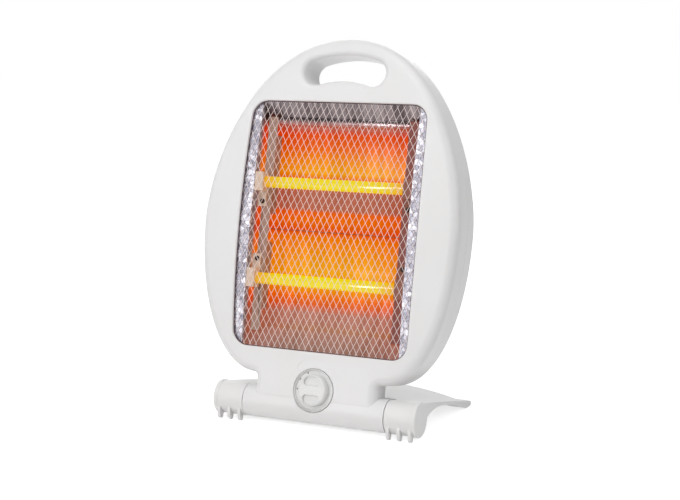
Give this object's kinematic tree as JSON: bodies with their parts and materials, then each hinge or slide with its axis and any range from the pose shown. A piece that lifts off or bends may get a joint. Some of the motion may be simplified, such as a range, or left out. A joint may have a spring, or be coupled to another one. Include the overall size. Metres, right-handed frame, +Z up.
{
  "type": "radiant heater",
  "caption": "Free-standing radiant heater: glowing quartz bars before curved reflectors, a diamond mesh, an egg-shaped head with a hand hole and rotary knob, tilting on a claw-toed foot.",
  "frame": {"origin": "middle of the footprint on the floor", "axes": "+Z up, the glowing front faces -Y, the hinge axis of the head runs along X"},
  "size_m": [0.2696, 0.1708, 0.3704],
  "materials": {
    "white_foot": "semi-gloss moulded plastic",
    "plated_steel": "bright plated",
    "white_housing": "semi-gloss moulded plastic",
    "white_mesh": "white painted expanded sheet",
    "polished_reflector": "bright",
    "zinc_sheet": "plain zinc coat",
    "bearing_plastic": "matt",
    "dark_switch": "matt",
    "hammered_flange": "bright, hammered",
    "quartz_glass": "clear, lit from inside",
    "glowing_core": "glowing",
    "ceramic": "fired, unglazed",
    "lead_insulation": "sleeved"
  },
  "bodies": {
    "stand": {"stand": "white_foot", "pivot_washer_left": "plated_steel", "pivot_screw_left": "plated_steel", "pivot_washer_right": "plated_steel", "pivot_screw_right": "plated_steel"},
    "head": {"front_cover": "white_housing", "rear_cover": "white_housing", "front_grille": "white_mesh", "reflector_upper": "polished_reflector", "reflector_lower": "polished_reflector", "heat_shield": "zinc_sheet", "dial_plate": "white_housing", "rotary_switch": "dark_switch", "tip_switch_body": "white_housing", "thermal_cutout": "plated_steel", "terminal_block": "white_housing", "cord_gland": "white_housing", "reflector_side_left": "hammered_flange", "tube_bracket_left": "zinc_sheet", "pivot_bush_left": "bearing_plastic", "reflector_screw_left_1": "plated_steel", "reflector_screw_left_2": "plated_steel", "cover_screw_left_1": "plated_steel", "cover_screw_left_2": "plated_steel", "cover_screw_left_3": "plated_steel", "reflector_side_right": "hammered_flange", "tube_bracket_right": "zinc_sheet", "pivot_bush_right": "bearing_plastic", "reflector_screw_right_1": "plated_steel", "reflector_screw_right_2": "plated_steel", "cover_screw_right_1": "plated_steel", "cover_screw_right_2": "plated_steel", "cover_screw_right_3": "plated_steel", "quartz_tube_upper": "quartz_glass", "heating_core_upper": "glowing_core", "ceramic_holder_upper_left": "ceramic", "tube_terminal_upper_left": "plated_steel", "holder_screw_upper_left": "plated_steel", "lead_upper_left": "lead_insulation", "ceramic_holder_upper_right": "ceramic", "tube_terminal_upper_right": "plated_steel", "holder_screw_upper_right": "plated_steel", "lead_upper_right": "lead_insulation", "quartz_tube_lower": "quartz_glass", "heating_core_lower": "glowing_core", "ceramic_holder_lower_left": "ceramic", "tube_terminal_lower_left": "plated_steel", "holder_screw_lower_left": "plated_steel", "lead_lower_left": "lead_insulation", "ceramic_holder_lower_right": "ceramic", "tube_terminal_lower_right": "plated_steel", "holder_screw_lower_right": "plated_steel", "lead_lower_right": "lead_insulation"},
    "knob": {"control_knob": "white_housing", "switch_shaft": "bearing_plastic"},
    "tip_pendulum": {"tip_switch_weight": "plated_steel"}
  },
  "joints": [
    {"name": "head_tilt", "type": "hinge", "parent": "stand", "child": "head", "pos_m": [0, -0.06718, 0.0192], "axis": [1, 0, 0], "range_deg": [-13, 11.6]},
    {"name": "knob_turn", "type": "hinge", "parent": "head", "child": "knob", "pos_m": [0, -0.07819, 0.03842], "axis": [0, -0.9794, 0.2018], "range_deg": [-64, 0]},
    {"name": "tip_pendulum_swing", "type": "hinge", "parent": "head", "child": "tip_pendulum", "pos_m": [0.038, -0.06583, 0.05057], "axis": [1, 0, 0], "range_deg": [-23, 13]}
  ]
}
